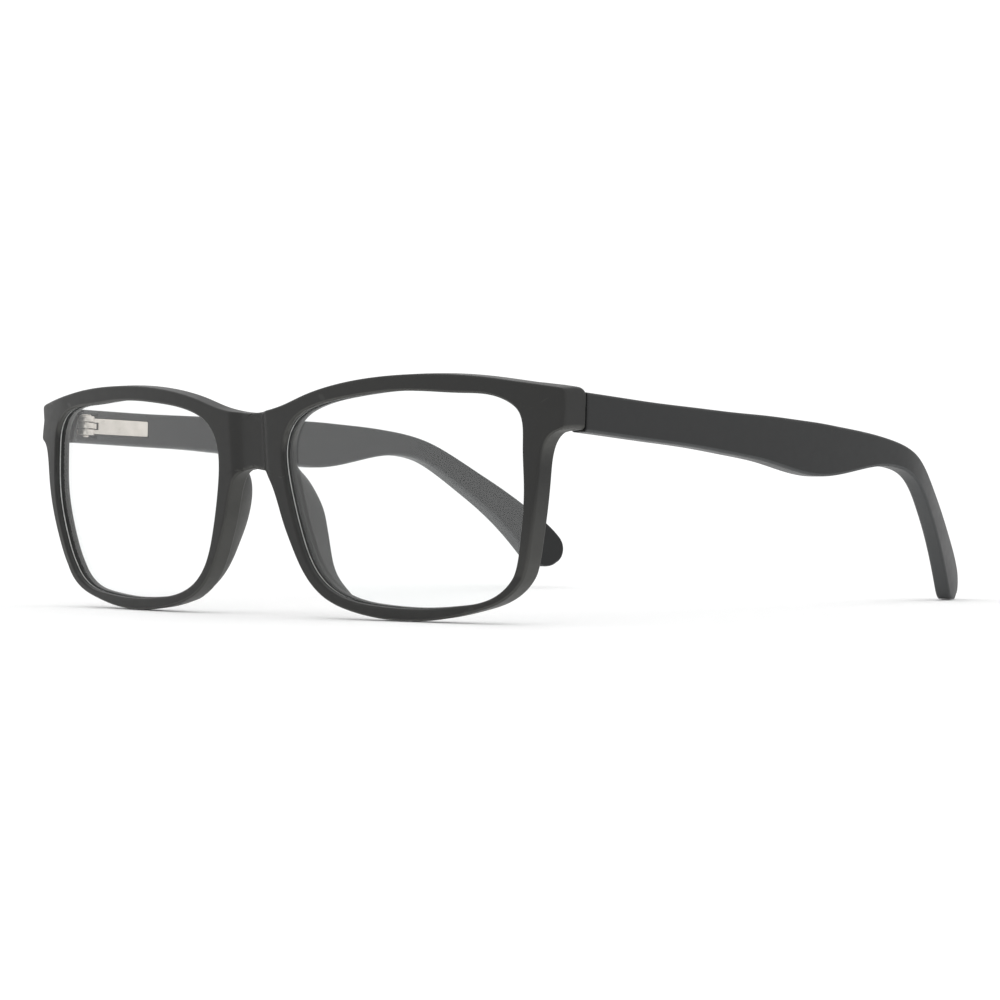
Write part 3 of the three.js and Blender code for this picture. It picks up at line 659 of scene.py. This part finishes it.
def temple_arm(side):
    """A temple on the left, with room for its knuckles and a trough for its spring housing."""
    rings = temple_rings(side)
    count = rings.shape[1]
    points = rings.reshape(-1, 3)
    points[:, 2] = np.maximum(0, points[:, 2])
    faces = ring_faces(len(rings), count, closed=False)
    faces.append(tuple(range(count)))
    faces.append(tuple(range((len(rings) - 1) * count, len(rings) * count)))
    room = block((ROOM_INNER, ROOM_FRONT, -ROOM_HALF_HEIGHT), (ROOM_OUTER, HOUSING_START, ROOM_HALF_HEIGHT))
    trough = upright_plate((HOUSING_START - 1, -TROUGH_HALF_HEIGHT), (HOUSING_END + FIT, TROUGH_HALF_HEIGHT),
                           TROUGH_ROUND, TROUGH_INNER, TROUGH_OUTER, 0.001)
    for tool in (room, trough):
        place_mesh(tool, from_hinge)
    return combined(solid(points, faces), [room, trough])


temples = {side: piece(f"temple_arm_{side}", temple_arm(side), f"{side}_temple", [f"temple_{side}"],
                       lambda points: points * (sign, 1, 1)) for side, sign in SIDES.items()}

# ---- Hinges, about the pin's axis: x outward, y back, z up ------------------------------------

KNUCKLE_RADIUS, KNUCKLE_HALF, KNUCKLE_STEP, KNUCKLE_BEVEL = 1.7, 0.55, 1.3, 0.12
ARM_CORNER, ARM_BEVEL = 0.1, 0.06
LEAF_CORNER, LEAF_BEVEL, LEAF_OVERLAP = 0.15, 0.08, 0.5
BORE, BORE_REACH = 0.95, 5
ROD_X, ROD_RADIUS, ROD_START, ROD_END, ROD_BEVEL = 1.6, 0.35, 2.7, 13.9, 0.1
ARM_INNER, ARM_FRONT, ARM_GAP = 0.4, 0.9, 0.3
BOX_INNER, BOX_OUTER, BOX_HALF_HEIGHT = 0.2, 2.9, 1.55
HOLLOW_INNER, HOLLOW_OUTER, HOLLOW_END, HOLLOW_HALF_HEIGHT = 0.75, 2.45, 15.2, 0.95
CHEEK_START, CHEEK_OUTER, CHEEK_HEIGHT, CHEEK_LEVELS = 2.0, 2.3, 0.8, (-1.52, 0.72)
COIL_RADIUS, COIL_WIRE, COIL_TURNS, COIL_START, COIL_END = 0.62, 0.11, 7, 4.9, 12.55
COIL_STEPS, COIL_SIDES = 32, 10
SCREW_RADIUS, SCREW_HEAD, SCREW_TIP = 0.65, 1.05, -2.25
SCREW_POINT, SCREW_PLAY, THREAD_START = 0.15, 0.05, 0.2
THREAD_PITCH, THREAD_DEPTH = 0.125, 0.07
# The screw's head: how far in from its rim, and how high above its seat; then its flat top and its slot.
HEAD_PROFILE = [(0.05, 0), (0, 0.05), (0, 0.18), (0.12, 0.28)]
HEAD_HEIGHT, HEAD_FLAT, SLOT_HALF_WIDTH, SLOT_FLOOR = 0.3, 0.6, 0.15, 0.13


def lug(level, arm_low, arm_high):
    """A knuckle with the arm that holds it, both of the same height."""
    height = level * KNUCKLE_STEP
    low, high = height - KNUCKLE_HALF, height + KNUCKLE_HALF
    eye = plate([circle(KNUCKLE_RADIUS)], low, high, KNUCKLE_BEVEL)
    arm = plate([rounded_box(arm_low, arm_high, ARM_CORNER)], low, high, ARM_BEVEL)
    return combined(eye, [arm], "UNION")


def bore():
    """The cutter for the screw's hole through a knuckle."""
    return lathe([(0, -BORE_REACH), (BORE, -BORE_REACH), (BORE, BORE_REACH), (0, BORE_REACH)])


def leaf_mesh():
    """The front half of a hinge: an anchor with two knuckles."""
    anchor = plate([rounded_box((LEAF_INNER, LEAF_FRONT), (LEAF_OUTER, LEAF_BACK), LEAF_CORNER)],
                   -LEAF_HALF_HEIGHT, LEAF_HALF_HEIGHT, LEAF_BEVEL)
    lugs = [lug(level, (LEAF_INNER, JOINT_FACE - LEAF_OVERLAP), (KNUCKLE_RADIUS, 0)) for level in (-1, 1)]
    return combined(combined(anchor, lugs, "UNION"), [bore()])


def slider_mesh():
    """The middle knuckle with its rod."""
    eye = lug(0, (ARM_INNER, ARM_FRONT), (ROD_X + ROD_RADIUS, HOUSING_START - ARM_GAP))
    profile = [(0, ROD_START), (ROD_RADIUS, ROD_START), (ROD_RADIUS, ROD_END - ROD_BEVEL),
               (ROD_RADIUS - ROD_BEVEL, ROD_END), (0, ROD_END)]
    rod = turned(lathe(profile, 32), "zxy")
    rod.transform(Matrix.Translation((ROD_X, 0, 0)))
    return combined(combined(eye, [rod], "UNION"), [bore()])


def screw_mesh():
    """The hinge's screw, with threads below and a slotted head on top."""
    top = KNUCKLE_STEP + KNUCKLE_HALF + SCREW_PLAY
    profile = [(0, SCREW_TIP), (SCREW_RADIUS - SCREW_POINT, SCREW_TIP),
               (SCREW_RADIUS, SCREW_TIP + SCREW_POINT)]
    for height in np.arange(SCREW_TIP + THREAD_START, -KNUCKLE_STEP + KNUCKLE_HALF, THREAD_PITCH):
        profile += [(SCREW_RADIUS - THREAD_DEPTH, height), (SCREW_RADIUS, height + THREAD_PITCH / 2)]
    profile.append((SCREW_RADIUS, top))
    profile += [(SCREW_HEAD - inward, top + rise) for inward, rise in HEAD_PROFILE]
    profile += [(SCREW_HEAD * HEAD_FLAT, top + HEAD_HEIGHT), (0, top + HEAD_HEIGHT)]
    slot = block((-2, -SLOT_HALF_WIDTH, top + SLOT_FLOOR), (2, SLOT_HALF_WIDTH, top + 2))
    return combined(lathe(profile), [slot])


def housing_mesh():
    """The box in the temple that the spring lies in, with a cheek above and below the slider's arm."""
    box = upright_plate((HOUSING_START, -BOX_HALF_HEIGHT), (HOUSING_END, BOX_HALF_HEIGHT), 0.3,
                        BOX_INNER, BOX_OUTER, 0.15)
    hollow = upright_plate((HOUSING_START - 2, -HOLLOW_HALF_HEIGHT), (HOLLOW_END, HOLLOW_HALF_HEIGHT), 0.2,
                           HOLLOW_INNER, HOLLOW_OUTER, 0.05)
    cheeks = [upright_plate((CHEEK_START, low), (HOUSING_START + 0.2, low + CHEEK_HEIGHT), 0.1,
                            BOX_INNER, CHEEK_OUTER, 0.08) for low in CHEEK_LEVELS]
    return combined(combined(box, [hollow]), cheeks, "UNION")


def coil_mesh():
    """The spring: a round wire wound about the rod, from the bushing to the nut."""
    turn = np.linspace(0, 2 * math.pi * COIL_TURNS, COIL_TURNS * COIL_STEPS + 1)[:, None]
    around = (np.arange(COIL_SIDES) * 2 * math.pi / COIL_SIDES)[None, :, None]
    rise = (COIL_END - COIL_START) / turn[-1, 0]
    out = np.hstack([np.cos(turn), np.zeros_like(turn), np.sin(turn)])
    way = np.hstack([-COIL_RADIUS * np.sin(turn), np.full_like(turn, rise), COIL_RADIUS * np.cos(turn)])
    side = np.cross(way / np.linalg.norm(way[0]), out)
    centre = COIL_RADIUS * out + np.hstack([np.full_like(turn, ROD_X), COIL_START + rise * turn, 0 * turn])
    rings = centre[:, None] + COIL_WIRE * (np.cos(around) * out[:, None] + np.sin(around) * side[:, None])
    points = rings.reshape(-1, 3)
    ends = [tuple(range(COIL_SIDES)), tuple(range(len(points) - COIL_SIDES, len(points)))]
    return solid(points, ring_faces(len(rings), COIL_SIDES, closed=False) + ends)


hinges, coils = [], []
coil_shape = coil_mesh()
hinge_shapes = {"leaf": leaf_mesh(), "slider": slider_mesh(), "screw": screw_mesh(),
                "housing": housing_mesh()}
for side, sign in SIDES.items():
    metals = (("leaf", "front", "hinge_leaf"), ("slider", f"{side}_slider", "hinge_slider"),
              ("screw", "front", "hinge_screw"), ("housing", f"{side}_temple", "spring_housing"))
    for kind, body, cad_node in metals:
        hinges.append(piece(f"{kind}_metal_{side}", hinge_shapes[kind], body, [f"{cad_node}_{side}"],
                            lambda points: from_hinge(points, sign), sharp=28))
    coil = piece(f"coil_steel_{side}", coil_shape, f"{side}_temple", [f"hinge_spring_{side}"],
                 lambda points: from_hinge(points, sign), sharp=50)
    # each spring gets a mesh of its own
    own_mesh(coil)
    coils.append(coil)

# ---- Materials -----------------------------------------------------------------------------


def node(tree, kind, **sockets):
    """A node with its inputs set to values or linked to other nodes' outputs."""
    made = tree.nodes.new(kind)
    for name, value in sockets.items():
        socket = made.inputs[name]
        if isinstance(value, bpy.types.NodeSocket):
            tree.links.new(value, socket)
        else:
            socket.default_value = value
    return made


# How much paler the plastic is made at its edges by a painted highlight, and on its underside by painted
# floor light.
EDGE_HIGHLIGHT_PALER, FLOOR_LIGHT_PALER = 2.2, 3.6


def look(name):
    """A new material with its tree and its shader."""
    made = bpy.data.materials.new(name)
    made.use_nodes = True
    return made, made.node_tree, made.node_tree.nodes["Principled BSDF"]


def noise(tree, scale, detail, stretch=(1, 1, 1)):
    """Noise in the object's own space; scale is in features per metre."""
    place = tree.nodes.new("ShaderNodeTexCoord").outputs["Object"]
    place = node(tree, "ShaderNodeMapping", Vector=place, Scale=stretch).outputs["Vector"]
    made = node(tree, "ShaderNodeTexNoise", Vector=place, Scale=scale, Detail=detail, Roughness=0.55)
    return made.outputs["Fac"]


def ranged(tree, value, low, high, from_low=0.3, from_high=0.7):
    """A value moved from one range to another, and kept inside it."""
    made = tree.nodes.new("ShaderNodeMapRange")
    for name, setting in (("From Min", from_low), ("From Max", from_high), ("To Min", low), ("To Max", high)):
        made.inputs[name].default_value = setting
    tree.links.new(value, made.inputs["Value"])
    return made.outputs["Result"]


def mixed(tree, share, first, second):
    """A colour between two, by a share."""
    made = tree.nodes.new("ShaderNodeMix")
    made.data_type = "RGBA"
    tree.links.new(share, made.inputs[0])
    for socket, value in ((made.inputs[6], first), (made.inputs[7], second)):
        if isinstance(value, bpy.types.NodeSocket):
            tree.links.new(value, socket)
        else:
            socket.default_value = (*value, 1)
    return made.outputs[2]


def added(tree, first, second, operation="ADD"):
    """Two values added, or combined by another operation."""
    made = tree.nodes.new("ShaderNodeMath")
    made.operation = operation
    for socket, value in zip(made.inputs, (first, second)):
        if isinstance(value, bpy.types.NodeSocket):
            tree.links.new(value, socket)
        else:
            socket.default_value = value
    return made.outputs[0]


def bumped(tree, shader, height, distance, strength):
    """Gives a shader a surface relief."""
    bump = tree.nodes.new("ShaderNodeBump")
    bump.inputs["Distance"].default_value = distance
    bump.inputs["Strength"].default_value = strength
    tree.links.new(height, bump.inputs["Height"])
    tree.links.new(bump.outputs["Normal"], shader.inputs["Normal"])


def satin_plastic(name, dark, pale, rough, gloss):
    """Black plastic with a fine grain, faint handling marks, glossier edges with a painted highlight, and
    painted floor light on its underside.
    """
    made, tree, shader = look(name)
    clouds, grain = noise(tree, 90, 4), noise(tree, 700, 0)
    edges = tree.nodes.new("ShaderNodeNewGeometry").outputs["Pointiness"]
    # the sharp edges, found by pointiness: they are made glossier, and they carry a painted highlight
    polish_and_highlight = ranged(tree, edges, 0, 1, 0.53, 0.6)
    colour = mixed(tree, ranged(tree, clouds, 0, 1), dark, pale)
    # painted highlight: the edges' colour is made paler, standing in for the light line that a polished edge
    # catches
    colour = mixed(tree, added(tree, polish_and_highlight, 0.5, "MULTIPLY"), colour, tuple(EDGE_HIGHLIGHT_PALER * c for c in pale))
    # painted floor light: faces that point down are made paler, as if lit by the white floor below
    normal = tree.nodes.new("ShaderNodeTexCoord").outputs["Normal"]
    upward = node(tree, "ShaderNodeSeparateXYZ", Vector=normal).outputs["Z"]
    colour = mixed(tree, ranged(tree, upward, 1, 0, -0.35, -0.1), colour,
                   tuple(FLOOR_LIGHT_PALER * c for c in pale))
    tree.links.new(colour, shader.inputs["Base Color"])
    marks = added(tree, ranged(tree, clouds, rough - 0.035, rough + 0.045),
                  ranged(tree, grain, -0.015, 0.015))
    tree.links.new(added(tree, marks, added(tree, polish_and_highlight, -0.07, "MULTIPLY")), shader.inputs["Roughness"])
    shader.inputs["Specular IOR Level"].default_value = gloss
    bumped(tree, shader, grain, 0.00002, 0.05)
    return made


def brushed_metal(name, dark, pale, rough, stretch):
    """Satin metal with fine brush lines, and painted shade that darkens its corners towards grey."""
    made, tree, shader = look(name)
    lines, clouds = noise(tree, 9000, 2, stretch=stretch), noise(tree, 500, 3)
    shader.inputs["Metallic"].default_value = 1
    colour = mixed(tree, ranged(tree, clouds, 0, 1), dark, pale)
    edges = tree.nodes.new("ShaderNodeNewGeometry").outputs["Pointiness"]
    # painted shade: concave corners, found by pointiness, are darkened
    hollow = ranged(tree, edges, 1, 0, 0.4, 0.49)
    colour = mixed(tree, added(tree, hollow, 0.5, "MULTIPLY"), colour, tuple(0.4 * c for c in dark))
    tree.links.new(colour, shader.inputs["Base Color"])
    tree.links.new(added(tree, ranged(tree, lines, rough - 0.06, rough + 0.06),
                         ranged(tree, clouds, -0.03, 0.03)), shader.inputs["Roughness"])
    bumped(tree, shader, lines, 0.00001, 0.15)
    return made


def clear_glass(name):
    """Clear lens material: it passes light straight through, and mirrors more where it is seen at a slant."""
    made, tree, shader = look(name)
    tree.nodes.remove(shader)
    facing = node(tree, "ShaderNodeLayerWeight", Blend=0.5).outputs["Facing"]
    mirrored_share = added(tree, added(tree, added(tree, facing, 5.0, "POWER"), 0.95, "MULTIPLY"), 0.052)
    smudge = ranged(tree, noise(tree, 60, 5), 0.02, 0.06)
    clear = tree.nodes.new("ShaderNodeBsdfTransparent")
    clear.inputs["Color"].default_value = (0.985, 0.992, 0.99, 1)
    gloss = tree.nodes.new("ShaderNodeBsdfAnisotropic")
    tree.links.new(smudge, gloss.inputs["Roughness"])
    mix = tree.nodes.new("ShaderNodeMixShader")
    tree.links.new(mirrored_share, mix.inputs[0])
    tree.links.new(clear.outputs[0], mix.inputs[1])
    tree.links.new(gloss.outputs[0], mix.inputs[2])
    tree.links.new(mix.outputs[0], tree.nodes["Material Output"].inputs["Surface"])
    return made


def ground_edge(name, dark, pale):
    """The lens's ground bevel, frosted."""
    made, tree, shader = look(name)
    frost = noise(tree, 1200, 3)
    tree.links.new(mixed(tree, ranged(tree, frost, 0, 1), dark, pale), shader.inputs["Base Color"])
    tree.links.new(ranged(tree, frost, 0.5, 0.8), shader.inputs["Roughness"])
    bumped(tree, shader, frost, 0.00002, 0.2)
    return made


front_plastic = satin_plastic(
    "front_plastic", (0.0092, 0.0092, 0.0084), (0.0128, 0.0128, 0.0117), rough=0.46, gloss=0.37)
temple_plastic = satin_plastic(
    "temple_plastic", (0.0082, 0.0088, 0.0090), (0.0118, 0.0124, 0.0126), rough=0.44, gloss=0.33)
nickel = brushed_metal("hinge_nickel", (0.60, 0.56, 0.51), (0.72, 0.67, 0.62), 0.34, (1, 0.06, 1))
steel = brushed_metal("spring_steel", (0.42, 0.42, 0.42), (0.55, 0.55, 0.56), 0.3, (1, 0.2, 1))
glass = clear_glass("lens_glass")
lens_facet = ground_edge("lens_facet", (0.36, 0.36, 0.35), (0.62, 0.62, 0.61))
# painted shade: the bevel's bands, which sit in the rim's groove, get a near-black colour in place of the
# shade there
lens_bevel = ground_edge("lens_bevel", (0.018, 0.019, 0.018), (0.03, 0.031, 0.03))


def paint(obj, material):
    """Gives a piece its first material."""
    if obj.data.materials:
        obj.material_slots[0].material = material
    else:
        obj.data.materials.append(material)


paint(shell, front_plastic)
for side in SIDES:
    paint(temples[side], temple_plastic)
    paint(lenses[side], glass)
    lenses[side].material_slots[1].material = lens_facet
    lenses[side].material_slots[2].material = lens_bevel
for metal in hinges:
    paint(metal, nickel)
for coil in coils:
    paint(coil, steel)
for name in ("temple_core_wire", "spring_bushing", "spring_nut"):
    for side in SIDES:
        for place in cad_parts[f"{name}_{side}"].material_slots:
            place.material = steel

# ---- Stage ---------------------------------------------------------------------------------


def make_stage():
    """A pale floor just under the object, in even white light."""
    size, drop = 3.0, -0.0002
    floor = bpy.data.meshes.new("floor")
    corners = [(-size, -size, drop), (size, -size, drop), (size, size, drop), (-size, size, drop)]
    floor.from_pydata(corners, [], [(0, 1, 2, 3)])
    floor_object = bpy.data.objects.new("floor", floor)
    bpy.context.scene.collection.objects.link(floor_object)
    paper, _, shader = look("floor")
    shader.inputs["Base Color"].default_value = (0.995, 0.995, 0.995, 1)
    shader.inputs["Roughness"].default_value = 0.9
    shader.inputs["Specular IOR Level"].default_value = 0.0
    floor.materials.append(paper)
    world = bpy.data.worlds.new("studio")
    world.use_nodes = True
    world.node_tree.nodes["Background"].inputs["Color"].default_value = (1, 1, 1, 1)
    world.node_tree.nodes["Background"].inputs["Strength"].default_value = 1.1
    bpy.context.scene.world = world
    bpy.context.scene.view_settings.view_transform = "Standard"


make_stage()
